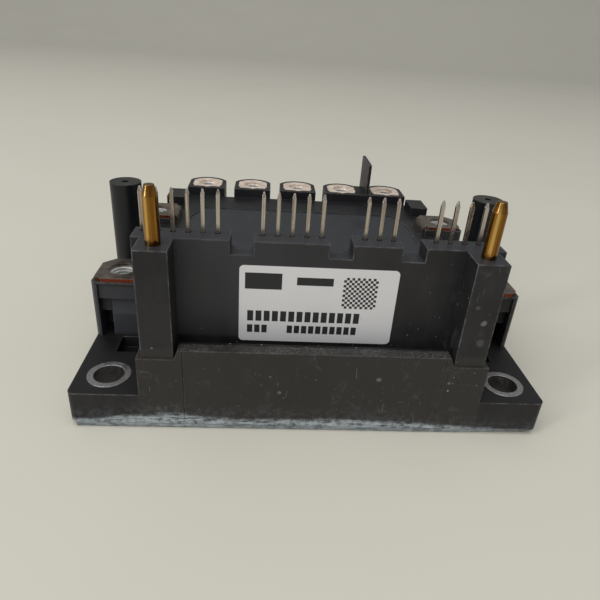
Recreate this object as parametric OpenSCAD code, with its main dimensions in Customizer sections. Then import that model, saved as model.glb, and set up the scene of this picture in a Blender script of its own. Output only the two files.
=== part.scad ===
// Six-switch power module with its gate drive inside. A moulded case stands on a flat
// metal base plate that is screwed to a heatsink by four corner bushes. The front carries
// a tall header with square control pins and two guide pins, for a board that lies on the
// header and on two posts. Nine screw terminals stand at the sides and along the back.
// Millimetres. The origin is the middle of the base plate's underside, +Z is up and -Y is
// the header side. Inside the modules, Y is counted from the front edge of the flanges.

/* [Module] */
// Width of the flange on each side of the header
flange_side = 12.1; // [11.8:0.1:18]
// Depth from the front flange edge to the back flange edge
module_d = 103; // [100:1:120]
// Height of the mounting flanges above the heatsink
flange_h = 7.7; // [7:0.1:9]
// Length of the free flange in front of and behind the body
flange_l = 19.4; // [18.6:0.1:20]
// Radius of the four upright corners
corner_r = 1.2; // [0.5:0.1:3]
// Setback of the body's sides from the flange edges
body_in = 5.5; // [5.3:0.1:6.5]
// Height of the deck round the lid
deck_h = 18.3; // [17.9:0.1:19]

/* [Base plate and bushes] */
// Thickness of the base plate
plate_t = 3; // [2:0.1:4]
// Distance of the plate's edge from the case's edge
plate_inset = 1; // [0.8:0.1:2]
// How far the plate stands out below the case
plate_show = 1.3; // [0.5:0.1:1.8]
// Distance of each mounting hole from both nearest edges
hole_inset = 6; // [5.5:0.1:7]
// Diameter of the mounting holes
bolt_d = 5.6; // [4.3:0.1:6]
// Outside diameter of the bushes
bush_d = 8; // [7:0.1:9]
// How far a bush stands out above its flange
bush_proud = 0.1; // [0.05:0.05:0.3]

/* [Header] */
// Height of the header, the columns and the posts, where the board lies
board_h = 35.6; // [30:0.2:40]
// Plastic beyond the outermost control pins
pin_margin = 1.42; // [1.2:0.02:2]
// Distance of the header wall's face from the front edge
header_y = 6; // [5.5:0.1:7]
// Thickness of the header wall
header_t = 4.6; // [4:0.1:5.5]
// Setback of the columns' outer sides from the header's ends
column_in = 1.5; // [0.7:0.1:2]
// Width of each column
column_w = 5.55; // [5:0.05:6]
// Setback of the columns' faces from the front edge
column_y = 0.3; // [0.1:0.1:1]
// Width of the notches between the pin groups
notch_w = 4; // [2.5:0.1:4.6]
// Depth of the notches
notch_d = 2.55; // [1:0.05:6]
// Width of the slot behind each notch
slot_w = 2.4; // [1:0.1:2.4]

/* [Front block] */
// Setback of the block's sides from the header's ends
block_in = 0.6; // [0.4:0.1:0.8]
// Height of the block at the columns' feet
foot_h = 15.5; // [13:0.5:16.5]
// Height of the lip in front of the header wall
lip_h = 17.4; // [16.5:0.1:19]
// Thickness of the lip
lip_t = 2.9; // [1.5:0.1:4]
// Height of the groove's floor behind the lip
groove_h = 11.5; // [9:0.5:12]

/* [Pins] */
// Pitch of the control pins
pitch = 2.54; // [2.5:0.01:2.54]
// Side of a square control pin
pin_s = 0.64; // [0.5:0.02:0.8]
// Height of the control pins above the header
pin_up = 7.6; // [5:0.2:12]
// Distance of the row of pins from the front edge
pin_y = 9.3; // [9.1:0.1:9.4]
// Diameter of the guide pins
guide_d = 2.5; // [2:0.1:3]
// Height of the guide pins above the header
guide_up = 9.7; // [7:0.1:14]
// Distance of the guide pins from the front edge
guide_y = 3.3; // [2.6:0.1:4]
// Depth of the guide pins' roots in the columns
guide_root = 9; // [5:0.5:15]

/* [Posts] */
// Distance of the posts' axes from the flange edges
post_in = 3.9; // [3.6:0.1:4.5]
// Distance of the posts from the front edge
post_y = 37.4; // [35:0.1:45]
// Diameter of the posts
post_d = 6.6; // [5:0.1:7]
// Diameter of the screw hole in a post
pilot_d = 1.6; // [1.2:0.1:2.5]
// Depth of the screw hole in a post
pilot_l = 12; // [6:0.5:16]
// Depth of the posts' roots in the flange
post_root = 3; // [1:0.5:4]

/* [Terminals] */
// Height of the terminals' faces
terminal_h = 21; // [20.8:0.1:22]
// Thickness of the terminal strips
tab_t = 0.8; // [0.5:0.1:1]
// Width of the side terminals
side_tab_w = 10; // [9.6:0.1:11]
// Distance of the side terminals' bends from the flange edges
side_bend_in = 11; // [10.8:0.1:11.4]
// Distance of the front pair of side terminals from the front edge
side_front_y = 24.4; // [24.4:0.1:26]
// Distance of the rear pair of side terminals from the back edge
side_back_in = 40; // [38:0.1:44]
// Distance between the back terminals
row_pitch = 14.2; // [13.6:0.1:14.6]
// Width of the back terminals
row_tab_w = 8.8; // [8.6:0.1:9.2]
// Distance of the back row's face from the back edge
row_inset = 17.8; // [17:0.1:19]
// Thickness of the plastic round a back terminal
rim_t = 1.2; // [0.8:0.1:1.2]
// Diameter of the screw holes in the strips
tab_hole_d = 5.4; // [4.8:0.1:6]
// Width across the flats of the nuts
nut_af = 8; // [7.6:0.1:8.1]
// Height of the nuts
nut_h = 4; // [3:0.1:4.5]
// Diameter of the nuts' thread, at its crests
thread_d = 4.2; // [3.3:0.1:4.4]
// Height of the barrier fin between the last two back terminals
fin_h = 30.3; // [24:0.1:36]
// Thickness of the barrier fin
fin_t = 0.9; // [0.6:0.1:1.5]

/* [Lid and label] */
// Setback of the lid's sides from the header's ends
lid_in = 1.5; // [1.4:0.1:1.8]
// Distance of the lid's back edge from the back row
lid_back = 11.2; // [10:0.1:14]
// Thickness of the lid
lid_t = 1.6; // [1.2:0.1:1.8]
// How far the lid lies below the deck
lid_sink = 0.2; // [0.05:0.05:0.4]
// Clearance all round the lid
lid_gap = 0.1; // [0.05:0.05:0.15]
// Width of the label
label_w = 27.9; // [20:0.1:40]
// Height of the label
label_h = 15; // [10:0.1:16]
// Height of the label's middle above the heatsink
label_z = 23.8; // [23:0.1:25]
// Thickness of the label
label_t = 0.15; // [0.1:0.05:0.3]

/* [Inside] */
// Thickness of the control board
board_t = 1.6; // [1:0.1:1.7]
// Height of the driver chips
chip_h = 1.4; // [0.8:0.1:1.6]
// Distance of the gel's surface below the control board
gel_drop = 1.5; // [1:0.1:3]

/* [Hidden] */
$fn = 64;
eps = 0.01;
insert_fit = 0.02;      // clearance of a moulded-in or pressed-in piece
plate_fit = 0.1;        // clearance round the base plate

// Control pins: first place and number of pins of each group, on the pin grid. The
// notches' middles are on the same grid.
PIN_GROUPS = [[0, 6], [8, 5], [15, 3], [20, 5]];
NOTCH_PLACES = [6.65, 13.3, 18.28];
PIN_MIDDLE = 12;
PIN_X = [for (g = PIN_GROUPS) for (k = [0 : g[1] - 1]) (g[0] + k - PIN_MIDDLE) * pitch];
NOTCH_X = [for (n = NOTCH_PLACES) (n - PIN_MIDDLE) * pitch];
pin_tip = 0.9;                      // length of a pin's pointed end
pin_below = 0.4;                    // length of a pin below the board
dimple_s = 1.0;                     // square dimple round a pin's foot
dimple_d = 0.2;
guide_cone = 1.7;                   // length of a guide pin's pointed end
guide_tip_d = 1.6;
guide_root_d = 1.6;                 // turned-down root of a guide pin

header_w = 2 * (PIN_MIDDLE * pitch + pin_margin);
module_w = header_w + 2 * flange_side;
body_w = module_w - 2 * body_in;
block_w = header_w - 2 * block_in;
lid_w = header_w - 2 * lid_in;
post_x = module_w / 2 - post_in;
side_bend_x = module_w / 2 - side_bend_in;
case_z = plate_show;
column_x = header_w / 2 - column_in - column_w; // inner side of a column
header_back = header_y + header_t;
lid_top = deck_h - lid_sink;
lid_seat = lid_top - lid_t;
ledge_w = 1;                                    // width of the lid's ledge
board_gap = 0.2;                                // clearance round the control board
chip_room = 0.5;                                // between the chips and the lid
top_z = lid_seat - chip_room - chip_h - board_t; // ledge that carries the board
gel_h = top_z - gel_drop;
mid_z = 8;                                      // ledge that carries the strips' feet
foot_t = tab_t;
top_w = lid_w - 2 * ledge_w;
mid_w = lid_w - 2 * 4.9;
low_w = mid_w - 2 * 3;                          // well of the substrates
slot_wall = 0.7;                                // wall at the ends of the pins' chamber
slot_back = 1.5;                                // depth of the slots behind the notches
pin_room = 1.3;                                 // room in front of and behind the pins

row_y = module_d - row_inset;                   // face of the back row
row_skin = 0.5;                                 // plastic in front of the back strips
row_nut = 5.1;                                  // from the bend to the nut
row_tab_l = 10.1;
side_tab_l = 10.5;
side_nut = 5.85;
side_back_y = module_d - side_back_in;
SIDE_Y = [side_front_y, side_back_y];
tab_z = terminal_h - tab_t;
bend_r = 1.4;
tab_front_cut = 1.4;
tab_back_cut = 2.4;
strip_w = 8;
foot_in = 1.2;                                  // how far a foot stays off the well's edge
nut_z = tab_z - nut_h;
nut_fit = 0.04;
screw_room_d = 5.6;                             // room below a nut for the screw's end
row_room_z = 9.6;
side_room_z = 13.7;
web_h = 14.8;                                   // height of the web between back terminals
fin_x = 1.5 * row_pitch + 0.6;
fin_y0 = row_y + 0.3;
fin_y1 = row_y + 13.3;
fin_base_y = row_y + 9.8;
shoulder_x = body_w / 2 - 4.9;
shoulder_y0 = row_y - 10.7;
shoulder_y1 = row_y - 2.6;
lid_y1 = row_y - lid_back;
lid_cut = [3, 8];
top_y1 = lid_y1 - ledge_w;
mid_y0 = 16;
mid_y1 = top_y1 - ledge_w;
low_y0 = 20;
low_y1 = mid_y1 - 3;
board_back = 60;

sub_count = 3;
sub_gap = 0.7;
sub_side = 1;
sub_w = low_w - 2 * sub_side;
sub_d = (low_y1 - low_y0 - (sub_count + 1) * sub_gap) / sub_count;
ceramic_t = 0.64;
copper_t = 0.3;
die_t = 0.3;

COLOURS = [["case", "#2c2c2f"], ["lid", "#34373d"], ["copper", "#b98a74"], ["tin", "#c9c2b2"]];
case_colour = COLOURS[0][1];
lid_colour = COLOURS[1][1];
copper_colour = COLOURS[2][1];
tin_colour = COLOURS[3][1];

SIDES = ["left", "right"];
ENDS = ["front", "back"];
CHIPS = ["u", "v", "w", "low"];
function two(n) = n < 10 ? str("0", n) : str(n);
function pin_node(i) = str("control_pin_", two(i + 1));
function side_name(i) = str(SIDES[floor(i / 2)], "_", ENDS[i % 2]);
function row_name(i) = str("back_", i + 1);
function row_x(i) = (i - 2) * row_pitch;
function sign_of(i) = i < 2 ? -1 : 1;
function hole_x(s) = s * (module_w / 2 - hole_inset);
function hole_y(e) = e == 0 ? hole_inset : module_d - hole_inset;

// ---------------------------------------------------------------- helpers

// Moves a piece from the front edge's count of Y to the module's own frame.
module from_front() translate([0, -module_d / 2, 0]) children();

// A block between two corners.
module block(low, high) translate(low) cube(high - low);

// The same block on the left and on the right.
module both_sides() {
    children();
    mirror([1, 0, 0]) children();
}

// A rectangle with round corners, centred on the origin.
module round_rect(w, d, r) {
    square([w - 2 * r, d], center = true);
    square([w, d - 2 * r], center = true);
    for (x = [-1, 1], y = [-1, 1]) translate([x * (w / 2 - r), y * (d / 2 - r)]) circle(r);
}

// The module's outline, drawn inward by an inset.
module outline(inset) translate([0, module_d / 2])
    round_rect(module_w - 2 * inset, module_d - 2 * inset, corner_r);

// Round holes or plugs at the four mounting places.
module at_bolts() for (s = [-1, 1], e = [0, 1]) translate([hole_x(s), hole_y(e), 0]) children();

// A side terminal's place: local X points outward from the strip's bend.
module at_side(i) translate([sign_of(i) * side_bend_x, SIDE_Y[i % 2], 0])
    rotate([0, 0, i < 2 ? 180 : 0]) children();

// A back terminal's place: local X points backward from the strip's bend.
module at_row(i) translate([row_x(i), row_y + row_skin, 0]) rotate([0, 0, 90]) children();

// ---------------------------------------------------------------- terminals

// Outline of a side strip's face, with its corners cut. The front corner lies at -Y of
// the module, which is local +Y on the left side.
module side_face(front) {
    w = side_tab_w / 2;
    f = front;
    polygon([
        [bend_r, -w * f], [side_tab_l - tab_front_cut, -w * f],
        [side_tab_l, (-w + tab_front_cut) * f], [side_tab_l, (w - tab_back_cut) * f],
        [side_tab_l - tab_back_cut, w * f], [bend_r, w * f]
    ]);
}

// Outline of a back strip's face: straight sides and a round end about the nut.
module row_face(grow = 0) {
    w = row_tab_w / 2 + grow;
    intersection() {
        translate([bend_r, -w]) square([row_tab_l + grow - bend_r, 2 * w]);
        translate([row_nut, 0]) circle(row_tab_l - row_nut + grow);
    }
}

// The strip's bend, its leg inside the wall and its foot on the ledge, seen from the side.
// The bend's upper end overlaps the strip's face.
face_lap = 2;
module strip_profile(foot_l, grow) {
    r = bend_r;
    leg_h = terminal_h - r - mid_z;
    difference() {
        union() {
            translate([r, terminal_h - r]) circle(r + grow);
            translate([-grow, mid_z]) square([r + grow, leg_h]);
            translate([r, tab_z]) square([face_lap, tab_t + grow]);
        }
        translate([r, terminal_h - r]) circle(r - tab_t - grow);
        translate([tab_t + grow, mid_z - 1]) square([r - tab_t - grow, leg_h + 1]);
        translate([r, mid_z - 1]) square([2 * r, tab_z - mid_z + 1]);
    }
    translate([-foot_l, mid_z]) square([foot_l + tab_t + grow, foot_t + grow]);
}

module strip(foot_l, grow = 0) translate([0, strip_w / 2 + grow, 0]) rotate([90, 0, 0])
    linear_extrude(strip_w + 2 * grow) strip_profile(foot_l, grow);

side_foot = side_bend_x - low_w / 2 - foot_in;
row_foot = row_y + row_skin - low_y1 - foot_in;

module side_terminal(i) difference() {
    union() {
        strip(side_foot);
        translate([0, 0, tab_z]) linear_extrude(tab_t) side_face(sign_of(i));
    }
    translate([side_nut, 0, tab_z - 1]) cylinder(d = tab_hole_d, h = tab_t + 2);
}

module row_terminal() difference() {
    union() {
        strip(row_foot);
        translate([0, 0, tab_z]) linear_extrude(tab_t) row_face();
    }
    translate([row_nut, 0, tab_z - 1]) cylinder(d = tab_hole_d, h = tab_t + 2);
}

// A hexagon nut on its axis, with two flats along the strip's sides.
module hexagon(h, grow = 0) cylinder(d = (nut_af + 2 * grow) / cos(30), h = h, $fn = 6);

module nut() translate([0, 0, nut_z]) difference() {
    hexagon(nut_h);
    translate([0, 0, -1]) cylinder(d = thread_d, h = nut_h + 2);
}

// Pocket for a nut, with room for the screw's end below it.
module nut_pocket(room_z) {
    translate([0, 0, nut_z]) hexagon(nut_h + 1, nut_fit);
    translate([0, 0, room_z]) cylinder(d = screw_room_d, h = nut_z - room_z + 1);
}

// ---------------------------------------------------------------- case

// Plinth of the flanges, hollow below for the base plate.
module plinth() translate([0, 0, case_z]) linear_extrude(flange_h - case_z) outline(0);

// Block of the front side, with the lip along its edge.
module front_block() {
    block([-block_w / 2, 0, flange_h], [block_w / 2, header_y + eps, foot_h]);
    block([-block_w / 2, header_y, flange_h], [block_w / 2, header_back, deck_h]);
    lip_cut = (lip_h - foot_h) * 0.4;
    rotate([90, 0, 0]) translate([0, 0, -lip_t]) linear_extrude(lip_t) polygon([
        [-column_x, foot_h - 1], [column_x, foot_h - 1], [column_x, foot_h],
        [column_x - lip_cut, lip_h], [-column_x + lip_cut, lip_h], [-column_x, foot_h]
    ]);
}

// Groove between the lip and the header wall.
module lip_groove() block([-column_x, lip_t, groove_h], [column_x, header_y, board_h]);

// Fine joint lines on the block's face.
seam_x = column_x - 1.55;
seam_s = 0.12;
module seams() both_sides()
    block([seam_x, -1, case_z + 1.1], [seam_x + seam_s, seam_s, lip_h + 1]);

// Header wall and columns, each with a small rib at its outer foot.
rib_h = 1.8;
rib_l = 2.2;
module header() {
    block([-header_w / 2, header_y, flange_h], [header_w / 2, header_back, board_h]);
    both_sides() {
        block([column_x, column_y, foot_h - 1], [column_x + column_w, header_y + eps, board_h]);
        block([column_x + column_w - eps, header_y - rib_l, foot_h - 1],
            [block_w / 2, header_y + eps, foot_h + rib_h]);
    }
}

// Notches between the groups of pins. The first two have a slot down the header's back.
module notches() {
    for (x = NOTCH_X) block(
        [x - notch_w / 2, header_y - 1, board_h - notch_d],
        [x + notch_w / 2, header_back + 1, board_h + 1]
    );
    for (k = [0, 1]) block(
        [NOTCH_X[k] - slot_w / 2, header_back - slot_back, deck_h],
        [NOTCH_X[k] + slot_w / 2, header_back + 1, board_h]
    );
}

// One side block that carries a terminal, in the frame of at_side.
module side_block(front) {
    w = side_tab_w / 2;
    f = front;
    out = module_w / 2 - side_bend_x;
    cut = 0.6;
    translate([0, 0, case_z]) linear_extrude(tab_z - case_z) polygon([
        [tab_t, -w * f], [out - cut, -w * f], [out, (-w + cut) * f], [out, (w - tab_back_cut) * f],
        [out - tab_back_cut, w * f], [tab_t, w * f]
    ]);
}

// Hollow in the open face of a front side block, round the housing of its nut.
side_wall = 1.1;
hollow_in = side_bend_x + 0.6;
module side_hollow() {
    y = side_front_y - side_tab_w / 2;
    out = module_w / 2 - side_wall;
    boss = out - 2.3;
    step_z = side_room_z - 0.8;
    block([hollow_in, y - 1, nut_z + 0.1], [out, y + 0.5, tab_z - 0.5]);
    block([boss, y - 1, step_z - eps], [out, y + 1.8, nut_z + 0.1 + eps]);
    block([boss, y - 1, flange_h], [out, y + 5.6, step_z]);
    translate([hollow_in, 0, 0]) rotate([90, 0, 90]) linear_extrude(boss - hollow_in + eps) polygon([
        [y - 1, flange_h], [y + 1, flange_h], [y + 1, step_z - 0.4],
        [y + 1.8, nut_z + 0.1 + eps], [y - 1, nut_z + 0.1 + eps]
    ]);
}

// Pocket in the flange beside the front block.
pocket_w = 7.4;
pocket_l = 5.8;
pocket_d = 2.6;
module flange_pocket() block(
    [block_w / 2, flange_l - pocket_l, flange_h - pocket_d],
    [block_w / 2 + pocket_w, flange_l, flange_h + 1]
);

// Body with its deck, the shoulders at its back corners and the part behind the header.
module body() {
    block([-block_w / 2, header_back, case_z], [block_w / 2, flange_l + eps, deck_h]);
    block([-body_w / 2, flange_l, case_z], [body_w / 2, row_y, deck_h]);
    both_sides() block([shoulder_x, shoulder_y0, deck_h - 1], [body_w / 2, shoulder_y1, terminal_h]);
}

// The back row: a rounded block for each terminal, the web and the barrier fin.
module back_row() {
    for (i = [0 : 4]) translate([row_x(i), row_y + row_skin + row_nut, flange_h]) {
        linear_extrude(terminal_h - flange_h) intersection() {
            translate([-row_tab_w / 2 - rim_t, -row_nut - row_skin])
                square([row_tab_w + 2 * rim_t, 2 * row_tab_l]);
            union() {
                circle(row_tab_l - row_nut + rim_t);
                translate([-row_tab_w, -row_nut - row_skin]) square([2 * row_tab_w, row_nut + row_skin]);
            }
        }
    }
    block([row_x(0), row_y, flange_h], [row_x(4), fin_base_y, web_h]);
    block([row_x(3), row_y, flange_h], [row_x(4), fin_base_y, terminal_h]);
    block([fin_x - fin_t / 2, fin_y0, flange_h], [fin_x + fin_t / 2, fin_y1, fin_h]);
}

// Outline of the lid. Its back corners are cut off.
module lid_outline(grow) {
    w = lid_w / 2 + grow;
    y0 = header_back + lid_gap - grow;
    y1 = lid_y1 + grow;
    polygon([[-w, y0], [w, y0], [w, y1 - lid_cut[1]], [w - lid_cut[0], y1],
        [-w + lid_cut[0], y1], [-w, y1 - lid_cut[1]]]);
}

// Stepped hollow under the lid: well, strip ledge, board ledge and the pins' chamber.
chamber_x = header_w / 2 - slot_wall;
module hollow() {
    up = deck_h + 1;
    chamber_h = lid_seat - 1;
    cut = lid_cut[0];
    translate([0, 0, lid_seat]) linear_extrude(deck_h) lid_outline(lid_gap);
    block([-chamber_x, pin_y - pin_room, top_z - 2 * pin_below], [chamber_x, header_back, chamber_h]);
    block([-top_w / 2, pin_y, top_z], [top_w / 2, header_back + 1, chamber_h]);
    block([-top_w / 2, header_back, top_z], [top_w / 2, top_y1 - lid_cut[1], up]);
    block([-top_w / 2 + cut, header_back, top_z], [top_w / 2 - cut, top_y1, up]);
    block([-mid_w / 2, mid_y0, mid_z], [mid_w / 2, mid_y1, up]);
    block([-low_w / 2, low_y0, plate_t - 1], [low_w / 2, low_y1, up]);
}

// Square hole for each control pin, with a dimple at the top.
module pin_holes() for (x = PIN_X) {
    s = pin_s / 2 + insert_fit;
    block([x - s, pin_y - s, top_z], [x + s, pin_y + s, board_h + 1]);
    block([x - dimple_s / 2, pin_y - dimple_s / 2, board_h - dimple_d],
        [x + dimple_s / 2, pin_y + dimple_s / 2, board_h + 1]);
}

// Everything that is cut out of the housing.
module cuts() {
    translate([0, 0, -1]) linear_extrude(plate_t + 1) outline(plate_inset - plate_fit);
    at_bolts() cylinder(d = bush_d + 2 * insert_fit, h = flange_h + 1);
    lip_groove();
    seams();
    notches();
    both_sides() {
        side_hollow();
        flange_pocket();
        translate([column_x + column_w / 2, guide_y, board_h - guide_root])
            cylinder(d = guide_root_d + 2 * insert_fit, h = guide_root + 1);
        translate([post_x, post_y, flange_h - post_root])
            cylinder(d = post_d + 2 * insert_fit, h = deck_h);
    }
    hollow();
    pin_holes();
    for (i = [0 : 3]) at_side(i) {
        strip(side_foot, insert_fit);
        translate([side_nut, 0, 0]) nut_pocket(side_room_z);
    }
    for (i = [0 : 4]) at_row(i) {
        strip(row_foot, insert_fit);
        translate([0, 0, tab_z]) linear_extrude(tab_t + 1) row_face(insert_fit);
        translate([row_nut, 0, 0]) nut_pocket(row_room_z);
    }
}

module case() color(case_colour) from_front() difference() {
    union() {
        plinth();
        body();
        for (i = [0 : 3]) at_side(i) side_block(sign_of(i));
    }
    cuts();
}

// The header block and the terminal row are moulded in one with the case. They stand on
// the flange and are nodes of their own, so that collision keeps the spaces round them open.
module header_block() color(case_colour) from_front() difference() {
    union() {
        front_block();
        header();
    }
    cuts();
}

module terminal_row() color(case_colour) from_front() difference() {
    back_row();
    cuts();
}

// ---------------------------------------------------------------- other pieces

module base_plate() color("#b9b9b6") from_front() difference() {
    linear_extrude(plate_t) outline(plate_inset);
    at_bolts() translate([0, 0, -1]) cylinder(d = bolt_d, h = plate_t + 2);
}

module bush(i) color("#aaa6a5") from_front()
    translate([hole_x(sign_of(i)), hole_y(i % 2), plate_t]) difference() {
        cylinder(d = bush_d, h = flange_h + bush_proud - plate_t);
        translate([0, 0, -1]) cylinder(d = bolt_d, h = flange_h + 1);
    }

module lid() color(lid_colour) from_front()
    translate([0, 0, lid_seat]) linear_extrude(lid_t) lid_outline(0);

// Post for the board, with its foot in the flange and a groove of the body.
module post(s) color(case_colour) from_front()
    translate([s * post_x, post_y, flange_h - post_root]) difference() {
        post_l = board_h - flange_h + post_root;
        cylinder(d = post_d, h = post_l);
        translate([0, 0, post_l - pilot_l]) cylinder(d = pilot_d, h = pilot_l + 1);
    }

label_r = 0.8;
module label() color("#bebcbc") from_front()
    translate([0, header_y, label_z]) rotate([90, 0, 0])
        linear_extrude(label_t) round_rect(label_w, label_h, label_r);

module guide_pin(s) color("#a8782a") from_front()
    translate([s * (column_x + column_w / 2), guide_y, board_h - guide_root]) rotate_extrude() polygon([
        [0, 0], [guide_root_d / 2, 0], [guide_root_d / 2, guide_root], [guide_d / 2, guide_root],
        [guide_d / 2, guide_root + guide_up - guide_cone],
        [guide_tip_d / 2, guide_root + guide_up], [0, guide_root + guide_up]
    ]);

// Side view of a control pin, which both of its faces share.
pin_z0 = top_z - pin_below;
module pin_profile() {
    s = pin_s / 2;
    l = board_h + pin_up - pin_z0;
    polygon([[-s, 0], [s, 0], [s, l - pin_tip], [s * 0.4, l], [-s * 0.4, l], [-s, l - pin_tip]]);
}

module control_pin(i) color(tin_colour) from_front() translate([PIN_X[i], pin_y, pin_z0]) intersection() {
    rotate([90, 0, 0]) translate([0, 0, -pin_s / 2]) linear_extrude(pin_s) pin_profile();
    rotate([90, 0, 90]) translate([0, 0, -pin_s / 2]) linear_extrude(pin_s) pin_profile();
}

// Direct-bonded substrate: copper foil, ceramic, copper tracks and the soldered chips.
copper_gap = 0.5;                   // bare rim of the copper below
track_gap = 0.8;                    // bare rim of a track
die_x = [-8, 0];                    // switch on its track
die_rim = 3.2;
diode_x = [2, 7];                   // diode on its track
diode_rim = 4.4;
module substrate(i) {
    w = sub_w / 2;
    z = plate_t;
    color("#e6e4dc") from_front() translate([0, low_y0 + sub_gap + i * (sub_d + sub_gap), 0]) {
        block([-w + copper_gap, copper_gap, z], [w - copper_gap, sub_d - copper_gap, z + copper_t]);
        block([-w, 0, z + copper_t], [w, sub_d, z + copper_t + ceramic_t]);
        top = z + copper_t + ceramic_t;
        for (s = [-1, 1]) {
            x = s * w / 2;
            block([x - w / 2 + track_gap, track_gap, top],
                [x + w / 2 - track_gap, sub_d - track_gap, top + copper_t]);
            for (d = [[die_x, die_rim], [diode_x, diode_rim]])
                block([x + d[0][0], d[1], top + copper_t],
                    [x + d[0][1], sub_d - d[1], top + copper_t + die_t]);
        }
    }
}

// Control board on its ledge, soldered to the pins.
board_top = top_z + board_t;
module control_board() color("#2f6b3c") from_front() difference() {
    union() {
        w = chamber_x - board_gap;
        block([-w, pin_y - pin_room + board_gap, top_z], [w, header_back - board_gap, board_top]);
        block([-top_w / 2 + board_gap, header_back - board_gap - eps, top_z],
            [top_w / 2 - board_gap, board_back, board_top]);
    }
    for (x = PIN_X) {
        s = pin_s / 2 + insert_fit;
        block([x - s, pin_y - s, top_z - 1], [x + s, pin_y + s, board_top + 1]);
    }
}

// Driver chip with its two rows of leads.
chip_w = 7.5;
chip_d = 10;
chip_y = 24;                                    // first row of chips
chip_step = [26, 20];
lead_w = 0.4;
lead_l = 1;
lead_pitch = 1.27;
module driver_chip(i) color("#1b1b1d") from_front()
    translate([(i % 2 - 0.5) * chip_step[0], chip_y + floor(i / 2) * chip_step[1], board_top]) {
        block([-chip_w / 2, -chip_d / 2, 0], [chip_w / 2, chip_d / 2, chip_h]);
        for (k = [-3 : 3]) block(
            [-chip_w / 2 - lead_l, k * lead_pitch - lead_w / 2, 0],
            [chip_w / 2 + lead_l, k * lead_pitch + lead_w / 2, chip_h / 2]
        );
    }

// Gel that fills the well and covers the substrates and the strips' feet.
module silicone_gel() color("#dfe6ea") difference() {
    from_front() {
        block([-low_w / 2, low_y0, plate_t], [low_w / 2, low_y1, mid_z]);
        block([-mid_w / 2, mid_y0, mid_z], [mid_w / 2, mid_y1, gel_h]);
    }
    for (i = [0 : sub_count - 1]) substrate(i);
    from_front() {
        for (i = [0 : 3]) at_side(i) strip(side_foot);
        for (i = [0 : 4]) at_row(i) strip(row_foot);
    }
}

module side_terminal_node(i) color(copper_colour) from_front() at_side(i) side_terminal(i);
module row_terminal_node(i) color(copper_colour) from_front() at_row(i) row_terminal();
module side_nut_node(i) color("#d0d0ce") from_front() at_side(i) translate([side_nut, 0, 0]) nut();
module row_nut_node(i) color("#d0d0ce") from_front() at_row(i) translate([row_nut, 0, 0]) nut();

// ---------------------------------------------------------------- nodes

base_plate();
case();
header_block();
terminal_row();
lid();
label();
for (i = [0 : 3]) bush(i);
post(-1);  // post_left
post(1);  // post_right
guide_pin(-1);  // guide_pin_left
guide_pin(1);  // guide_pin_right
for (i = [0 : len(PIN_X) - 1]) control_pin(i);
for (i = [0 : 3]) side_terminal_node(i);
for (i = [0 : 4]) row_terminal_node(i);
for (i = [0 : 3]) side_nut_node(i);
for (i = [0 : 4]) row_nut_node(i);
for (i = [0 : sub_count - 1]) substrate(i);
control_board();
for (i = [0 : 3]) driver_chip(i);
silicone_gel();
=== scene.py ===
# %% [markdown]
# A power module is a flat metal plate with a moulded black case on it. Rows of screws,
# pins and posts carry the current, the signals and the drive board. All solids come from
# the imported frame, so this lesson is mostly about finishes: what each material looks like
# close up, how to write it with nodes, and which small pieces the solids leave out.

import math

import bmesh
import bpy
from mathutils import Euler, Matrix, Vector, noise


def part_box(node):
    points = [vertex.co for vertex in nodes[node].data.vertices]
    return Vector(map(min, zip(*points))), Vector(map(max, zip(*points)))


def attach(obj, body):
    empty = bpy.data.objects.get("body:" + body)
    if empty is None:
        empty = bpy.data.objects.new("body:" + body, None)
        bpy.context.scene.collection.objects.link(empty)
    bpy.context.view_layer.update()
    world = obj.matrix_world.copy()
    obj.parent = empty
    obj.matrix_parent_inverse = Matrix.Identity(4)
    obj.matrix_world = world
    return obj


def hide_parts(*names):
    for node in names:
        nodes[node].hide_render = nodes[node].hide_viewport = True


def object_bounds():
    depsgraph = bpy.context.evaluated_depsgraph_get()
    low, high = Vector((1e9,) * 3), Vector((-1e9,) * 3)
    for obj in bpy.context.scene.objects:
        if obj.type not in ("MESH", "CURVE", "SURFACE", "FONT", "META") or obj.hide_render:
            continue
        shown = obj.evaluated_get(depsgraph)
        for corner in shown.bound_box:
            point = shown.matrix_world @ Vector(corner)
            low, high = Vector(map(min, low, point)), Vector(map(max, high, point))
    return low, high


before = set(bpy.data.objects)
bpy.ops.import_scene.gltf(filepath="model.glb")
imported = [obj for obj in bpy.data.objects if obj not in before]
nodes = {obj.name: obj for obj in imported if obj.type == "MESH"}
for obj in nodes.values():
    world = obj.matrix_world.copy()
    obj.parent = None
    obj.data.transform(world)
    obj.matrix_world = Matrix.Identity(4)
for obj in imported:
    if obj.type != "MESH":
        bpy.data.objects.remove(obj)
cad_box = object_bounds()
print("solids:", len(nodes), "box:", [[round(c, 4) for c in corner] for corner in cad_box])

# %% [markdown]
# Every size below is given in millimetres, because that is how such a part is drawn, and
# one value turns it into the scene's metres. The object stands on Z = 0, its pin header
# looks towards -Y, and the middle of its base is the origin.

# %% Units and the places that other pieces use
MM = 0.001
FRONT = cad_box[0][1]
LABEL_LOW, LABEL_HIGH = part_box("label")
CASE_LOW, CASE_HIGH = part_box("case")


def mm(*values):
    """A point given in millimetres from the middle of the base."""
    return Vector(values) * MM


print("case from", [round(c / MM, 2) for c in CASE_LOW], "to", [round(c / MM, 2) for c in CASE_HIGH])

# %% [markdown]
# The camera looks from a little above the header, close to the object, with a wide lens.
# The near columns therefore look large and the back terminals small.

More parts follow.
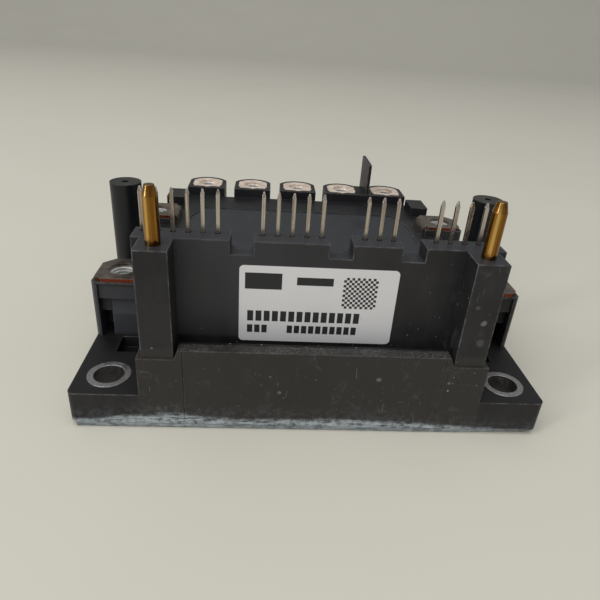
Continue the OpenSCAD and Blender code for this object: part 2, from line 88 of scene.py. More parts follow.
# %% Camera
camera_data = bpy.data.cameras.new("camera")
camera_data.sensor_width = 36
camera_data.lens = 31.785
camera_data.clip_start = 0.01
camera_data.clip_end = 20
camera = bpy.data.objects.new("camera", camera_data)
camera.location = mm(-9.81, -128.08, 68.93)
camera.rotation_euler = Euler((1.08142, -0.06461, -0.04545))
bpy.context.scene.collection.objects.link(camera)
bpy.context.scene.camera = camera
print("camera at", [round(c / MM, 1) for c in camera.location])

# %% [markdown]
# A finish is a small net of nodes. The helper class below keeps each net readable: it
# makes a node, sets its sockets and hands back the result. All patterns are laid out in
# Object coordinates, in millimetres, so that grain keeps its real size on every piece.


# %% The finish helper
class Finish:
    """A material with a Principled shader, and short calls for the nodes before it."""

    def __init__(self, name, roughness=0.5, metallic=0.0, specular=0.5):
        self.material = bpy.data.materials.new(name)
        self.material.use_nodes = True
        self.tree = self.material.node_tree
        self.tree.nodes.clear()
        self.shader = self.node("ShaderNodeBsdfPrincipled")
        self.shader.inputs["Roughness"].default_value = roughness
        self.shader.inputs["Metallic"].default_value = metallic
        self.shader.inputs["Specular IOR Level"].default_value = specular
        output = self.node("ShaderNodeOutputMaterial")
        self.link(self.shader.outputs["BSDF"], output.inputs["Surface"])
        coordinates = self.node("ShaderNodeTexCoord")
        scale = self.node("ShaderNodeVectorMath", operation="SCALE")
        scale.inputs["Scale"].default_value = 1 / MM
        self.link(coordinates.outputs["Object"], scale.inputs[0])
        self.place = scale.outputs[0]
        self.normal = coordinates.outputs["Normal"]
        split = self.node("ShaderNodeSeparateXYZ")
        self.link(self.place, split.inputs[0])
        self.x, self.y, self.z = split.outputs

    def node(self, kind, **settings):
        made = self.tree.nodes.new(kind)
        for key, value in settings.items():
            setattr(made, key, value)
        return made

    def link(self, source, target):
        self.tree.links.new(source, target)

    def put(self, value, socket):
        """Links a socket, or sets a plain number or colour."""
        if isinstance(value, bpy.types.NodeSocket):
            self.link(value, socket)
        else:
            socket.default_value = value

    def stretched(self, factors, turn=(0, 0, 0)):
        mapping = self.node("ShaderNodeMapping")
        self.link(self.place, mapping.inputs["Vector"])
        mapping.inputs["Scale"].default_value = factors
        mapping.inputs["Rotation"].default_value = turn
        return mapping.outputs[0]

    def noise(self, size, detail=2.0, roughness=0.5, place=None, distortion=0.0):
        """Soft noise with features about size millimetres wide."""
        made = self.node("ShaderNodeTexNoise")
        self.link(place or self.place, made.inputs["Vector"])
        made.inputs["Scale"].default_value = 1 / size
        made.inputs["Detail"].default_value = detail
        made.inputs["Roughness"].default_value = roughness
        made.inputs["Distortion"].default_value = distortion
        return made.outputs["Fac"]

    def step(self, value, low, high, out_low=0.0, out_high=1.0):
        """A smooth step from low to high."""
        made = self.node("ShaderNodeMapRange", interpolation_type="SMOOTHSTEP")
        self.put(value, made.inputs["Value"])
        made.inputs["From Min"].default_value = low
        made.inputs["From Max"].default_value = high
        made.inputs["To Min"].default_value = out_low
        made.inputs["To Max"].default_value = out_high
        return made.outputs["Result"]

    def sum(self, operation, first, second=0.0, third=0.0):
        """One step of arithmetic on sockets or plain numbers."""
        made = self.node("ShaderNodeMath", operation=operation)
        for value, socket in zip((first, second, third), made.inputs):
            self.put(value, socket)
        return made.outputs[0]

    def times(self, first, *others):
        """The product of all the values."""
        for other in others:
            first = self.sum("MULTIPLY", first, other)
        return first

    def most(self, first, *others):
        """The largest of all the values."""
        for other in others:
            first = self.sum("MAXIMUM", first, other)
        return first

    def apart(self, value, middle):
        """How far a value is from a middle, on either side."""
        return self.sum("ABSOLUTE", self.sum("SUBTRACT", value, middle))

    def mix(self, factor, first, second):
        """Mixes two colours."""
        made = self.node("ShaderNodeMix", data_type="RGBA")
        self.put(factor, made.inputs["Factor"])
        for value, socket in ((first, made.inputs[6]), (second, made.inputs[7])):
            if not isinstance(value, bpy.types.NodeSocket):
                value = (*value, 1)
            self.put(value, socket)
        return made.outputs[2]

    def specks(self, size, share, place=None, radius=0.3):
        """Round specks on a grid of cells, in only a share of the cells."""
        cells = self.node("ShaderNodeTexVoronoi")
        self.link(place or self.place, cells.inputs["Vector"])
        cells.inputs["Scale"].default_value = 1 / size
        dot = self.step(cells.outputs["Distance"], radius * 0.55, radius, 1, 0)
        draw = self.node("ShaderNodeSeparateColor")
        self.link(cells.outputs["Color"], draw.inputs[0])
        chosen = self.sum("LESS_THAN", draw.outputs[0], share)
        strength = self.step(draw.outputs[1], 0, 1, 0.25, 1)
        return self.times(dot, chosen, strength)

    def within(self, low, high, soft=0.3):
        """1 inside a box given in millimetres, fading over a soft edge."""
        inside = None
        for value, start, end in zip((self.x, self.y, self.z), low, high):
            if start is None:
                continue
            middle, half = (start + end) / 2, (end - start) / 2
            side = self.step(self.apart(value, middle), half - soft, half + soft, 1, 0)
            inside = side if inside is None else self.times(inside, side)
        return inside

    def facing(self, axis):
        """How far the surface looks along an axis, from -1 to 1."""
        split = self.node("ShaderNodeSeparateXYZ")
        self.link(self.normal, split.inputs[0])
        return split.outputs["XYZ".index(axis)]

    def round_edges(self, radius):
        """Shades the edges as if they were rounded to that radius in millimetres."""
        rounded = self.node("ShaderNodeBevel", samples=6)
        rounded.inputs["Radius"].default_value = radius * MM
        self.link(rounded.outputs[0], self.shader.inputs["Normal"])

    def near_edge(self, reach):
        """1 on an outer edge, falling to 0 at reach millimetres from it."""
        depth = self.node("ShaderNodeAmbientOcclusion", samples=8, inside=True, only_local=True)
        depth.inputs["Distance"].default_value = reach * MM
        return self.step(depth.outputs["AO"], 0.5, 0.98, 1, 0)

    def in_corner(self, reach):
        """1 deep in an inner corner, falling to 0 on open faces."""
        open_sky = self.node("ShaderNodeAmbientOcclusion", samples=8, only_local=True)
        open_sky.inputs["Distance"].default_value = reach * MM
        return self.step(open_sky.outputs["AO"], 0.45, 0.95, 1, 0)

    def bump(self, height, distance, strength=1.0):
        """Bump of a real depth, distance, in millimetres."""
        made = self.node("ShaderNodeBump")
        self.put(height, made.inputs["Height"])
        made.inputs["Distance"].default_value = distance * MM
        made.inputs["Strength"].default_value = strength
        if self.shader.inputs["Normal"].links:
            self.link(self.shader.inputs["Normal"].links[0].from_socket, made.inputs["Normal"])
        self.link(made.outputs[0], self.shader.inputs["Normal"])

    def colour(self, value):
        if not isinstance(value, bpy.types.NodeSocket):
            value = (*value, 1)
        self.put(value, self.shader.inputs["Base Color"])

    def roughness(self, value):
        self.put(value, self.shader.inputs["Roughness"])


def srgb(red, green, blue):
    """A colour given as it looks on a screen, 0 to 255, as linear light."""
    def linear(c):
        c /= 255
        return c / 12.92 if c <= 0.04045 else ((c + 0.055) / 1.055) ** 2.4
    return tuple(linear(c) for c in (red, green, blue))


def dress(name, finish):
    """Gives a CAD node its finish."""
    data = nodes[name].data
    data.materials.clear()
    data.materials.append(finish.material)


# %% [markdown]
# The case, the header block and the terminal row come out of one mould, although they are
# three solids in the frame. Joined as one piece they have no line where they meet. Each
# mesh first has its doubled points merged, and a union then melts them together.


# %% One moulding from three solids
def finish_piece(mesh, name, finish, smooth=False):
    """Turns a bmesh into an object that rides on the module."""
    data = bpy.data.meshes.new(name)
    mesh.to_mesh(data)
    mesh.free()
    data.polygons.foreach_set("use_smooth", [smooth] * len(data.polygons))
    if finish:
        data.materials.append(finish.material)
    piece = bpy.data.objects.new(name, data)
    bpy.context.scene.collection.objects.link(piece)
    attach(piece, "root")
    print(name, len(data.polygons), "faces")
    return piece


def merged_copy(name):
    """A plain object with a node's shape and no doubled points."""
    mesh = bmesh.new()
    mesh.from_mesh(nodes[name].data)
    mesh.transform(nodes[name].matrix_world)
    bmesh.ops.remove_doubles(mesh, verts=mesh.verts, dist=0.002 * MM)
    data = bpy.data.meshes.new(name + "_copy")
    mesh.to_mesh(data)
    mesh.free()
    copy = bpy.data.objects.new(name + "_copy", data)
    bpy.context.scene.collection.objects.link(copy)
    return copy


def joined(names):
    """A bmesh of several touching nodes, united."""
    copies = [merged_copy(name) for name in names]
    for other in copies[1:]:
        union = copies[0].modifiers.new("union", "BOOLEAN")
        union.operation, union.solver, union.object = "UNION", "EXACT", other
    bpy.context.view_layer.update()
    whole = copies[0].evaluated_get(bpy.context.evaluated_depsgraph_get())
    mesh = bmesh.new()
    mesh.from_mesh(whole.to_mesh())
    for copy in copies:
        bpy.data.objects.remove(copy)
    flat = math.radians(0.4)
    bmesh.ops.dissolve_limit(mesh, angle_limit=flat, verts=mesh.verts, edges=mesh.edges)
    bmesh.ops.triangulate(mesh, faces=mesh.faces)
    return mesh


MOULDED = ("case", "header_block", "terminal_row")
housing = finish_piece(joined(MOULDED), "housing", None)
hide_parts(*MOULDED)

# %% [markdown]
# Moulded black plastic is never one black. The mould gives a fine matt grain, the polymer
# has faint clouds, and handling leaves pale scuffs and white dust that gathers in corners.
# Each of these is its own pattern at its own scale, and they are laid over one another. The pale edges
# are partly real wear and partly a painted highlight of the rounded edges.

# %% Black case plastic
def moulded_plastic(name, dark, pale, worn_and_highlight, roughness, grain_depth=0.012):
    finish = Finish(name, roughness, specular=0.32)
    finish.round_edges(0.22)
    clouds = finish.noise(9, 3, 0.55)
    grain = finish.noise(0.22, 2, 0.6)
    flow = finish.noise(1.4, 4, 0.6, place=finish.stretched((1, 1, 0.3)))
    patchy = finish.sum("ADD", finish.times(clouds, 0.65), finish.times(flow, 0.35))
    plain = finish.mix(finish.step(patchy, 0.36, 0.66), dark, pale)
    # Pale edges: partly real wear, partly a painted highlight along the rounded edges.
    rubbed_and_lit = finish.step(finish.noise(1.8, 4, 0.65), 0.38, 0.66, 0.12, 0.75)
    finish.colour(finish.mix(finish.times(finish.near_edge(0.32), rubbed_and_lit), plain, worn_and_highlight))
    finish.roughness(finish.step(clouds, 0.3, 0.75, roughness - 0.07, roughness + 0.08))
    finish.bump(grain, grain_depth, 0.8)
    finish.bump(finish.noise(2.6, 2), 0.03, 0.35)
    return finish


CASE_DARK = srgb(25, 24, 25)
CASE_PALE = srgb(37, 36, 37)
CASE_WORN_AND_HIGHLIGHT = srgb(112, 111, 112)

case_finish = moulded_plastic("black_case_plastic", CASE_DARK, CASE_PALE, CASE_WORN_AND_HIGHLIGHT, 0.5)
print("case plastic grain: 0.22 mm")

# %% [markdown]
# Dirt and painted light are laid over the plastic one kind at a time, from the thinnest to the thickest.
# Each kind is a colour and a mask, and a mask is a pattern kept to the faces where that colour lies. The
# block at the foot is a little browner than the rest. The other layers of the next cell are painted light
# and shade: upward faces low down are painted darker, the high tops bluish as painted sky light, the wall
# and the left bay paler, and the inner corners, the rear and the back of the lip darker.

# %% The tone of each part of the case, with painted light and shade
FRONT_MM = FRONT / MM
BLOCK_X = 31.5  # half the width of the block at the foot
GAP_X = 25.2  # half the gap between the columns
SIDE_X = 60  # beyond the case on either side
FLANGE_Z = 7.9  # just under the flanges' tops

# Each zone is a box's low corner, its high corner and how softly it ends.
ZONES = {
    "foot": ((-BLOCK_X, FRONT_MM - 1, 1), (BLOCK_X, FRONT_MM + 3, 17.6), 0.6),
    "wall": ((-GAP_X, FRONT_MM + 5.6, 17), (31, FRONT_MM + 6.4, 36), 0.5),
    "bays": ((-SIDE_X, -33.2, FLANGE_Z), (SIDE_X, -20, 20.1), 0.3),
    "rear": ((-SIDE_X, 19, FLANGE_Z), (SIDE_X, 60, 21.2), 1.5),
    "lip_back_in_shade": ((-GAP_X, FRONT_MM + 2.2, 17), (GAP_X, FRONT_MM + 3.2, 18), 0.25),
    "lip_top": ((-25.3, FRONT_MM - 0.5, 16.9), (25.3, FRONT_MM + 2.3, 17.9), 0.2),
    "block": ((-BLOCK_X, FRONT_MM - 1, 2), (BLOCK_X, FRONT_MM + 1, 17), 1.2),
    "right_column": ((24, FRONT_MM - 1, 9), (31.4, FRONT_MM + 6.2, 35.4), 0.5),
    "right_wall": ((17, FRONT_MM + 5, 18), (31.4, FRONT_MM + 6.6, 35.4), 1),
    "groove": ((-25, FRONT_MM + 1.5, 9), (25, FRONT_MM + 7, 18.5), 0.8),
}


def zone(finish, name):
    """1 inside a named zone, falling to 0 outside it."""
    return finish.within(*ZONES[name])


def lay_over(finish, colour, *masks):
    """Covers the base colour where the product of the masks is 1."""
    below = finish.shader.inputs["Base Color"].links[0].from_socket
    finish.colour(finish.mix(finish.times(*masks), below, colour))


def tone_and_painted_light_of_case(finish):
    lay_over(finish, srgb(49, 45, 42), zone(finish, "foot"), 0.6)
    upward = finish.step(finish.facing("Z"), 0.7, 0.95)
    # Painted shade: the flange tops and other upward faces low down are painted near black.
    lay_over(finish, srgb(10, 10, 12), upward, finish.step(finish.z, 8, 9, 1, 0), 0.8)
    # Painted sky light: upward faces high up, on the tops of the columns, are painted bluish and paler.
    lay_over(finish, srgb(50, 54, 62), upward, finish.step(finish.z, 30, 31), 0.4)
    # Painted light: the wall between the columns is painted paler towards the left, where the light comes
    # from.
    painted_light_from_left = finish.step(finish.x, -20, 20, 0.6, 0.1)
    lay_over(finish, srgb(58, 57, 60), zone(finish, "wall"), painted_light_from_left)
    # Painted light: the bay on the left is painted paler and bluish, as if lit.
    painted_light_left_bay = finish.step(finish.x, -32.6, -32.2, 1, 0)
    lay_over(finish, srgb(70, 72, 78), painted_light_left_bay, zone(finish, "bays"), 0.5)
    # Painted shade: the inner corners are darkened.
    lay_over(finish, srgb(9, 9, 10), finish.in_corner(0.8), 0.35)
    # Painted shade: the rear of the case, up to the height of the back terminals, is darkened.
    lay_over(finish, srgb(16, 17, 21), zone(finish, "rear"), 0.6)
    # Painted shade: a dark line behind the lip, at the foot of the wall.
    lay_over(finish, srgb(10, 10, 10), zone(finish, "lip_back_in_shade"), 0.8)


tone_and_painted_light_of_case(case_finish)

# %% [markdown]
# Dust gathers on the narrow top of the lip, so thick that it looks like grey sand. Loose
# specks cling to the right column and to the wall beside it. The block carries short pale
# scratches, a few round spots where a drop has dried, and faint wiped clouds.

# %% Dust, scratches and spots
DUST = srgb(168, 169, 168)
SCUFF = srgb(112, 113, 115)


# Each dried drop: its place across and up, its radius and its strength.
SPOTS = (
    (28.3, 24.6, 0.6, 0.26), (26.6, 27.6, 0.45, 0.1), (28.6, 20.6, 0.8, 0.1), (11.6, 12.4, 0.5, 0.22),
    (-6.2, 9.0, 0.4, 0.22), (-8.0, 12.4, 0.25, 0.2), (24.6, 12.0, 0.35, 0.2), (-28.4, 17.6, 0.2, 0.3),
)


def spot(finish, x, z, radius, strength):
    """A dried drop on the front, with a soft rim."""
    across = finish.sum("POWER", finish.sum("SUBTRACT", finish.x, x), 2)
    upward = finish.sum("POWER", finish.sum("SUBTRACT", finish.z, z), 2)
    away = finish.sum("SQRT", finish.sum("ADD", across, upward))
    ragged = finish.sum("ADD", away, finish.times(finish.noise(0.5, 3), radius * 0.9))
    near = finish.sum("LESS_THAN", finish.y, FRONT_MM + 1.2)
    return finish.times(finish.step(ragged, radius, radius * 1.6, strength, 0), near)


def dirt_on_case(finish):
    sand = finish.step(finish.noise(0.24, 3, 0.8), 0.5, 0.6)
    patches = finish.step(finish.noise(5, 3), 0.3, 0.55, 0.35, 1)
    upward = finish.step(finish.facing("Z"), 0.6, 0.9)
    lay_over(finish, srgb(112, 112, 110), zone(finish, "lip_top"), upward, sand, patches, 0.62)

    block, right_column = zone(finish, "block"), zone(finish, "right_column")
    film = finish.step(finish.noise(3.4, 5, 0.66, distortion=0.8), 0.54, 0.8)
    filmed = finish.most(block, right_column, 0.05)
    lay_over(finish, SCUFF, film, filmed, 0.24)

    thin = finish.stretched((1, 1, 0.09), (0, 0.35, 0))
    scratches = finish.step(finish.noise(0.42, 2, 0.5, place=thin), 0.7, 0.76)
    lay_over(finish, SCUFF, scratches, filmed, 0.4)

    for drop in SPOTS:
        lay_over(finish, DUST, spot(finish, *drop))

    small = finish.specks(0.9, 0.22, radius=0.15)
    large = finish.specks(1.9, 0.2, radius=0.11)
    beside_label = finish.times(finish.most(right_column, zone(finish, "right_wall")), 0.7)
    dusty = finish.most(beside_label, zone(finish, "groove"), finish.times(block, 0.2), 0.03)
    lay_over(finish, DUST, finish.most(small, large), dusty)


dirt_on_case(case_finish)

# %% [markdown]
# Grey heat-sink paste has squeezed out at the foot and been wiped sideways. What is left on
# the plastic is a thin film, full of brush lines, that thins out upwards. The film is a
# mask too: a height that changes along the front, less a ragged noise.

# %% Wiped paste on the case
PASTE_DARK = srgb(98, 105, 110)
PASTE_PALE = srgb(168, 175, 180)
PASTE_TOP = 2.95  # usual height of the film above the table


def swelling(finish, middle, width):
    """A smooth hump along the front, 1 at its middle."""
    away = finish.sum("DIVIDE", finish.sum("SUBTRACT", finish.x, middle), width)
    return finish.sum("POWER", 2.718, finish.times(finish.sum("POWER", away, 2), -1))


def wiped_paste(finish):
    brush = finish.noise(0.4, 4, 0.7, place=finish.stretched((0.1, 1, 1)))
    mottle = finish.noise(1.1, 4, 0.68)
    brush = finish.sum("MULTIPLY_ADD", mottle, 0.45, finish.times(brush, 0.55))
    ragged = finish.noise(2.2, 4, 0.7, place=finish.stretched((0.25, 1, 1)))
    top = finish.sum("ADD", swelling(finish, -26.0, 5.0), PASTE_TOP)
    top = finish.sum("MULTIPLY_ADD", swelling(finish, 4.0, 14.0), 0.3, top)
    top = finish.sum("SUBTRACT", top, finish.step(finish.x, 18, 40, 0, 1.3))
    top = finish.sum("SUBTRACT", top, finish.step(finish.x, -40, -33, 0.5, 0))
    top = finish.sum("MULTIPLY_ADD", finish.sum("SUBTRACT", ragged, 0.5), 2.6, top)
    above = finish.sum("SUBTRACT", finish.z, top)
    over = finish.step(above, -0.9, 0.2, 1, 0)
    haze = finish.times(finish.step(above, 0, 3.5, 0.2, 0), finish.step(mottle, 0.4, 0.62))
    torn = finish.step(brush, 0.38, 0.52, 0.35, 1)
    front = finish.step(finish.y, FRONT_MM + 0.25, FRONT_MM + 0.6, 1, 0)
    mask = finish.times(over, torn, front)
    paste_colour = finish.mix(finish.step(brush, 0.38, 0.62), PASTE_DARK, PASTE_PALE)
    lay_over(finish, PASTE_DARK, haze, front)
    lay_over(finish, paste_colour, mask, 0.95)
    finish.bump(finish.times(mask, brush), 0.05, 0.8)


wiped_paste(case_finish)
housing.data.materials.append(case_finish.material)

# %% [markdown]
# The posts come out of polished holes in the mould, so they are smoother and darker than
# the walls. Fine draw marks run along them from the way they leave the mould.

# %% Posts
post_finish = moulded_plastic(
    "smooth_post_plastic", srgb(14, 15, 17), srgb(22, 23, 26), srgb(60, 62, 66), 0.36, 0.005)
draw_marks = post_finish.noise(0.5, 2, place=post_finish.stretched((1, 1, 0.04)))
post_finish.bump(draw_marks, 0.01, 0.5)
dress("post_left", post_finish)
dress("post_right", post_finish)

# %% [markdown]
# The lid is a separate moulding in another shade. It lies flat under the sky, so it looks bluish and pale
# beside the case although its colour is nearly the same; that bluish paleness is painted into its colour
# as painted sky light.

# %% Lid
# Painted sky light: the lid's colours are bluish and paler than the case's.
lid_finish = moulded_plastic(
    "dark_lid_plastic", srgb(33, 35, 40), srgb(43, 46, 52), srgb(84, 88, 94), 0.46)
lay_over(lid_finish, DUST, lid_finish.specks(2.4, 0.12, radius=0.07))
dress("lid", lid_finish)

# %% [markdown]
# Metal pieces are told apart by colour, by how sharp their reflections are, and by the
# direction of the tool marks. Drawn wire has streaks along its length, so the noise that
# makes them is squeezed across the wire and stretched along it.

# %% Guide pins, control pins, bushes and nuts
def streaked_metal(name, dark, bright, roughness, size=0.25, along=0.05, depth=0.004,
                   metallic=1.0, edge=0.1):
    finish = Finish(name, roughness, metallic=metallic)
    finish.round_edges(edge)
    streaks = finish.noise(size, 3, 0.55, place=finish.stretched((1, 1, along)))
    stains = finish.noise(1.3, 4, 0.62)
    streaked = finish.mix(finish.step(streaks, 0.3, 0.7), dark, bright)
    finish.colour(finish.mix(finish.step(stains, 0.52, 0.78, 0, 0.45), streaked, dark))
    finish.roughness(finish.step(stains, 0.3, 0.75, roughness - 0.08, roughness + 0.12))
    finish.bump(streaks, depth, 0.5)
    return finish


def band(finish, value, middle, near, far):
    """1 where a value is close to a middle, falling to 0 between near and far from it."""
    return finish.step(finish.apart(value, middle), near, far, 1, 0)


brass_finish = streaked_metal(
    "drawn_brass", srgb(116, 78, 30), srgb(164, 118, 54), 0.16,
    size=0.12, along=0.02, depth=0.0012, edge=0.2)
sideways = brass_finish.facing("X")
tip = brass_finish.step(brass_finish.z, 43.4, 45.0)
foot_of_pin = brass_finish.step(brass_finish.z, 35.8, 37.4, 1, 0)
# Painted highlight: a pale stripe down the left side of each pin. Painted shade: a dark stripe down its
# right side.
lay_over(brass_finish, srgb(232, 194, 116), band(brass_finish, sideways, -0.42, 0.08, 0.3), 0.6)
lay_over(brass_finish, srgb(88, 54, 18), band(brass_finish, sideways, 0.36, 0.1, 0.34), 0.5)
lay_over(brass_finish, srgb(84, 50, 18), tip, 0.45)
lay_over(brass_finish, srgb(92, 54, 20), foot_of_pin, 0.4)

tin_finish = streaked_metal(
    "tinned_wire", srgb(150, 138, 126), srgb(204, 196, 186), 0.26,
    size=0.2, along=0.02, depth=0.002, edge=0.08)
bush_finish = streaked_metal(
    "turned_steel", srgb(128, 126, 126), srgb(176, 174, 172), 0.42, along=1, edge=0.25)
nut_finish = streaked_metal(
    "zinc_plated_steel", srgb(205, 205, 203), srgb(245, 245, 243), 0.3,
    along=1, metallic=0.6, edge=0.15)
THREAD_PITCH = 0.8
thread = nut_finish.sum("SINE", nut_finish.times(nut_finish.z, 2 * math.pi / THREAD_PITCH))
nut_finish.bump(thread, 0.03)

for name in nodes:
    if name.startswith("guide_pin"):
        dress(name, brass_finish)
    elif name.startswith("control_pin"):
        dress(name, tin_finish)
    elif name.startswith("bush"):
        dress(name, bush_finish)
    elif name.startswith("nut"):
        dress(name, nut_finish)

# %% [markdown]
# A terminal strip is stamped from plated copper. The press cuts through the plating, so
# the faces are a greyish brown and the cut edges stay copper red. A face that looks up or
# down is plated; a face that looks sideways beyond the bend is a cut edge.

# %% Terminal strips
FAR = 100
BEYOND_BEND = 34.5, 34.9  # where the cut edges of the side strips begin
BEYOND_HOLE = 3.0, 3.3  # the wall of a screw hole is plated too


def plated_copper(name, dull, fresh, metallic, hole_x, hole_ys):
    finish = Finish(name, 0.36, metallic=metallic)
    finish.round_edges(0.12)
    clouds = finish.noise(2.1, 4, 0.62)
    grain = finish.noise(0.3, 2)
    rolled = finish.noise(0.35, 3, 0.6, place=finish.stretched((0.1, 1, 1)))
    plating = finish.mix(finish.step(clouds, 0.35, 0.7), dull, fresh)
    plating = finish.mix(finish.step(rolled, 0.5, 0.75, 0, 0.35), plating, dull)
    cut = finish.mix(finish.step(grain, 0.35, 0.65), srgb(88, 38, 25), srgb(128, 62, 40))
    sideways = finish.step(finish.sum("ABSOLUTE", finish.facing("Z")), 0.3, 0.55, 1, 0)
    outline = finish.step(finish.sum("ABSOLUTE", finish.x), *BEYOND_BEND)
    across = finish.sum("SUBTRACT", finish.sum("ABSOLUTE", finish.x), hole_x)
    along = FAR
    for y in hole_ys:
        along = finish.sum("MINIMUM", along, finish.apart(finish.y, y))
    squares = finish.sum("ADD", finish.sum("POWER", across, 2), finish.sum("POWER", along, 2))
    reach = finish.sum("SQRT", squares)
    outer = finish.step(reach, *BEYOND_HOLE)
    finish.colour(finish.mix(finish.times(sideways, outline, outer), plating, cut))
    finish.roughness(finish.step(clouds, 0.3, 0.7, 0.28, 0.46))
    finish.bump(grain, 0.006, 0.5)
    finish.bump(rolled, 0.004, 0.5)
    return finish


side_holes = [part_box(f"nut_left_{end}") for end in ("front", "back")]
SIDE_HOLE_X = -sum(corner[0] for corner in side_holes[0]) / 2 / MM
SIDE_HOLE_YS = [sum(corner[1] for corner in pair) / 2 / MM for pair in side_holes]
side_copper = plated_copper(
    "plated_copper_side", srgb(92, 83, 77), srgb(124, 114, 106), 0.85, SIDE_HOLE_X, SIDE_HOLE_YS)
# The back row is the same plated copper, painted far paler as a painted reflection of the pale backdrop,
# which the tabs show at a grazing view.
row_copper_painted_bright = plated_copper(
    "plated_copper_row_painted_bright", srgb(220, 200, 184), srgb(246, 232, 218), 0.5, 2 * FAR, [0])
for name in nodes:
    if name.startswith("terminal_back"):
        dress(name, row_copper_painted_bright)
    elif name.startswith("terminal"):
        dress(name, side_copper)

# %% [markdown]
# The base plate is nickel-plated copper. Only a thin line of it shows under the case.

# %% Base plate
plate_finish = streaked_metal(
    "nickel_plate", srgb(150, 149, 146), srgb(186, 185, 180), 0.38, size=0.6, along=1)
dress("base_plate", plate_finish)

# %% [markdown]
# Inside the case are the ceramic substrates, the control board with its chips, and a soft
# clear gel. They are hidden, so each gets a plain finish with a little variation.

# %% Hidden pieces
def plain_finish(name, dark, pale, roughness, size=1.5):
    finish = Finish(name, roughness)
    patches = finish.noise(size, 2)
    finish.colour(finish.mix(patches, dark, pale))
    finish.bump(patches, 0.01, 0.5)
    return finish


ceramic_finish = plain_finish("white_ceramic", srgb(222, 220, 212), srgb(238, 236, 228), 0.5)
board_finish = plain_finish("green_solder_mask", srgb(32, 84, 46), srgb(46, 104, 60), 0.35)
chip_finish = plain_finish("black_chip", srgb(24, 24, 26), srgb(34, 34, 36), 0.5)
gel_finish = plain_finish("silicone_gel", srgb(206, 216, 220), srgb(222, 230, 234), 0.15)
gel_finish.shader.inputs["Transmission Weight"].default_value = 0.7

for name in nodes:
    if name.startswith("substrate"):
        dress(name, ceramic_finish)
    elif name.startswith("driver_chip"):
        dress(name, chip_finish)
dress("control_board", board_finish)
dress("silicone_gel", gel_finish)

# %% [markdown]
# The label is a thin silver foil. It has a faint brushed sheen and a few soft creases.

# %% Label foil
label_finish = Finish("silver_foil_label", 0.5, metallic=0.12)
sheen = label_finish.noise(0.5, 2, place=label_finish.stretched((0.08, 1, 1)))
creases = label_finish.noise(7, 2)
label_finish.colour(label_finish.mix(creases, srgb(205, 204, 205), srgb(213, 212, 212)))
label_finish.roughness(label_finish.step(creases, 0.3, 0.7, 0.44, 0.56))
label_finish.bump(creases, 0.04, 0.4)
label_finish.bump(sheen, 0.001, 0.3)
lay_over(label_finish, srgb(120, 120, 120), label_finish.specks(1.6, 0.1, radius=0.06))
dress("label", label_finish)

# %% [markdown]
# Print on a label is a film of ink a few hundredths of a millimetre thick. This label
# carries plain blocks and a chequer in place of any words. Each block is a thin slab from
# a unit cube, moved and scaled into place, and all the slabs form one piece.

# %% Label print
INK_T = 0.02
CHEQUER = 13
CHEQUER_CELL = 0.47
CHEQUER_LEFT, CHEQUER_TOP = 18.2, 1.6
# Each row of blocks: how many, from the left, from the top, step, width and height.
BLOCK_ROWS = (
    (14, 1.5, 8.7, 1.47, 1.05, 2.1), (3, 1.5, 11.6, 1.3, 0.95, 1.6), (10, 8.7, 11.6, 1.3, 0.95, 1.6),
)


def slab(mesh, left, top, width, height):
    """An ink block, measured from the label's top left corner."""
    x = LABEL_LOW[0] / MM + left + width / 2
    z = LABEL_HIGH[2] / MM - top - height / 2
    y = LABEL_LOW[1] / MM - INK_T / 2
    place = Matrix.Translation(mm(x, y, z)) @ Matrix.Diagonal((*mm(width, INK_T, height), 1))
    bmesh.ops.create_cube(mesh, size=1, matrix=place)


ink_finish = plain_finish("black_ink", srgb(20, 20, 22), srgb(34, 34, 36), 0.6, size=0.4)
ink = bmesh.new()
slab(ink, 1.0, 1.3, 6.4, 3.1)
slab(ink, 10.0, 1.9, 6.4, 1.5)
for count, left, top, step, width, height in BLOCK_ROWS:
    for k in range(count):
        slab(ink, left + k * step, top, width, height)
for row in range(CHEQUER):
    for column in range(CHEQUER):
        if (row + column) % 2:
            left = CHEQUER_LEFT + column * CHEQUER_CELL
            slab(ink, left, CHEQUER_TOP + row * CHEQUER_CELL, CHEQUER_CELL, CHEQUER_CELL)
finish_piece(ink, "label_print", ink_finish)

# %% [markdown]
# The paste also fills the step between the plate and the case. That bead is a piece of its
# own: a strip of small faces bent from a grid, whose foot stands back from the front.

# %% Paste in the step under the case
PASTE_X = (-43, 42)
PASTE_COLUMNS = 340
PASTE_ROWS = 8
PASTE_FOOT = 0.06  # height of the bead's foot above the table
STEP_MM = CASE_LOW[2] / MM
paste = bmesh.new()
bmesh.ops.create_grid(paste, x_segments=PASTE_COLUMNS, y_segments=PASTE_ROWS, size=0.5)
for vertex in paste.verts:
    along, up = vertex.co.x + 0.5, vertex.co.y + 0.5
    x = PASTE_X[0] + along * (PASTE_X[1] - PASTE_X[0])
    z = PASTE_FOOT + up * (STEP_MM - PASTE_FOOT)
    bead = 0.1 * noise.noise(Vector((x * 0.7, z * 2.2, 2)))
    bead += 0.05 * noise.noise(Vector((x * 3, z * 5, 5)))
    fill = min(1, (1 - along) * 6)
    vertex.co = mm(x, FRONT_MM + 0.12 + (1 - fill) * 0.7 + 0.35 * (1 - up) ** 2 + bead, z)
paste_finish = Finish("heat_paste", 0.6)
brushed = paste_finish.noise(0.4, 4, 0.7, place=paste_finish.stretched((0.06, 1, 1)))
clumps = paste_finish.noise(1.6, 3, 0.6)
brushed = paste_finish.sum("MULTIPLY_ADD", clumps, 0.4, paste_finish.times(brushed, 0.6))
streaks = paste_finish.step(brushed, 0.36, 0.64)
paste_finish.colour(paste_finish.mix(streaks, srgb(88, 95, 100), srgb(164, 171, 175)))
paste_finish.bump(brushed, 0.05, 0.8)
finish_piece(paste, "paste_front", paste_finish, smooth=True)

# %% [markdown]
# A plain pale table shows the object without tinting it. The sheet under the object
# curves up behind it, so no horizon shows. It is bent from one grid: a row of points
# beyond the start of the curve climbs along a quarter circle and then straight up.

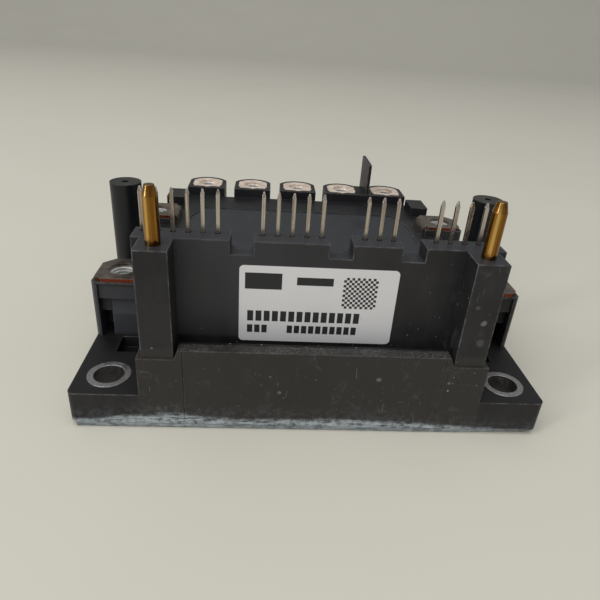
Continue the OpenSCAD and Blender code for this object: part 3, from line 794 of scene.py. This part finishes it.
# %% Floor and backdrop
SWEEP_START = 0.9
SWEEP_RADIUS = 0.8
SWEEP_END = SWEEP_RADIUS * math.pi / 2

stage_finish = Finish("pale_table", 0.8, specular=0.1)
stage_finish.colour(stage_finish.mix(stage_finish.noise(60, 2), srgb(196, 193, 180), srgb(201, 198, 186)))
floor = bmesh.new()
bmesh.ops.create_grid(floor, x_segments=4, y_segments=96, size=2.4)
for vertex in floor.verts:
    over = vertex.co.y - SWEEP_START
    if over > 0:
        angle = min(over, SWEEP_END) / SWEEP_RADIUS
        vertex.co.y = SWEEP_START + SWEEP_RADIUS * math.sin(angle)
        vertex.co.z = SWEEP_RADIUS * (1 - math.cos(angle)) + max(0, over - SWEEP_END)
floor_data = bpy.data.meshes.new("floor")
floor.to_mesh(floor_data)
floor.free()
floor_data.polygons.foreach_set("use_smooth", [True] * len(floor_data.polygons))
floor_data.materials.append(stage_finish.material)
floor_object = bpy.data.objects.new("floor", floor_data)
bpy.context.scene.collection.objects.link(floor_object)

# %% [markdown]
# One wide lamp hangs overhead, as a bright ceiling would. A narrow one on the left gives
# the round pins and the edges a highlight, and a weak grey sky fills the shadows.


# %% Lights
def soft_lamp(name, place, target, size, watts, tint=(1, 1, 1)):
    data = bpy.data.lights.new(name, "AREA")
    data.shape = "RECTANGLE"
    data.size, data.size_y = size
    data.energy = watts
    data.color = tint
    lamp = bpy.data.objects.new(name, data)
    lamp.location = place
    lamp.rotation_euler = (Vector(target) - Vector(place)).to_track_quat("-Z", "Y").to_euler()
    bpy.context.scene.collection.objects.link(lamp)
    return lamp


soft_lamp("overhead", (-0.2, -0.35, 0.85), (0, 0, 0), (1.0, 0.9), 6.0, (1, 0.99, 0.97))
soft_lamp("from_left", (-0.8, -0.5, 0.45), (0, 0, 0.02), (0.14, 0.6), 2.4)

world = bpy.data.worlds.new("studio")
world.use_nodes = True
background = world.node_tree.nodes["Background"]
background.inputs["Color"].default_value = (0.95, 0.97, 1, 1)
background.inputs["Strength"].default_value = 0.5
bpy.context.scene.world = world
bpy.context.scene.view_settings.view_transform = "Standard"
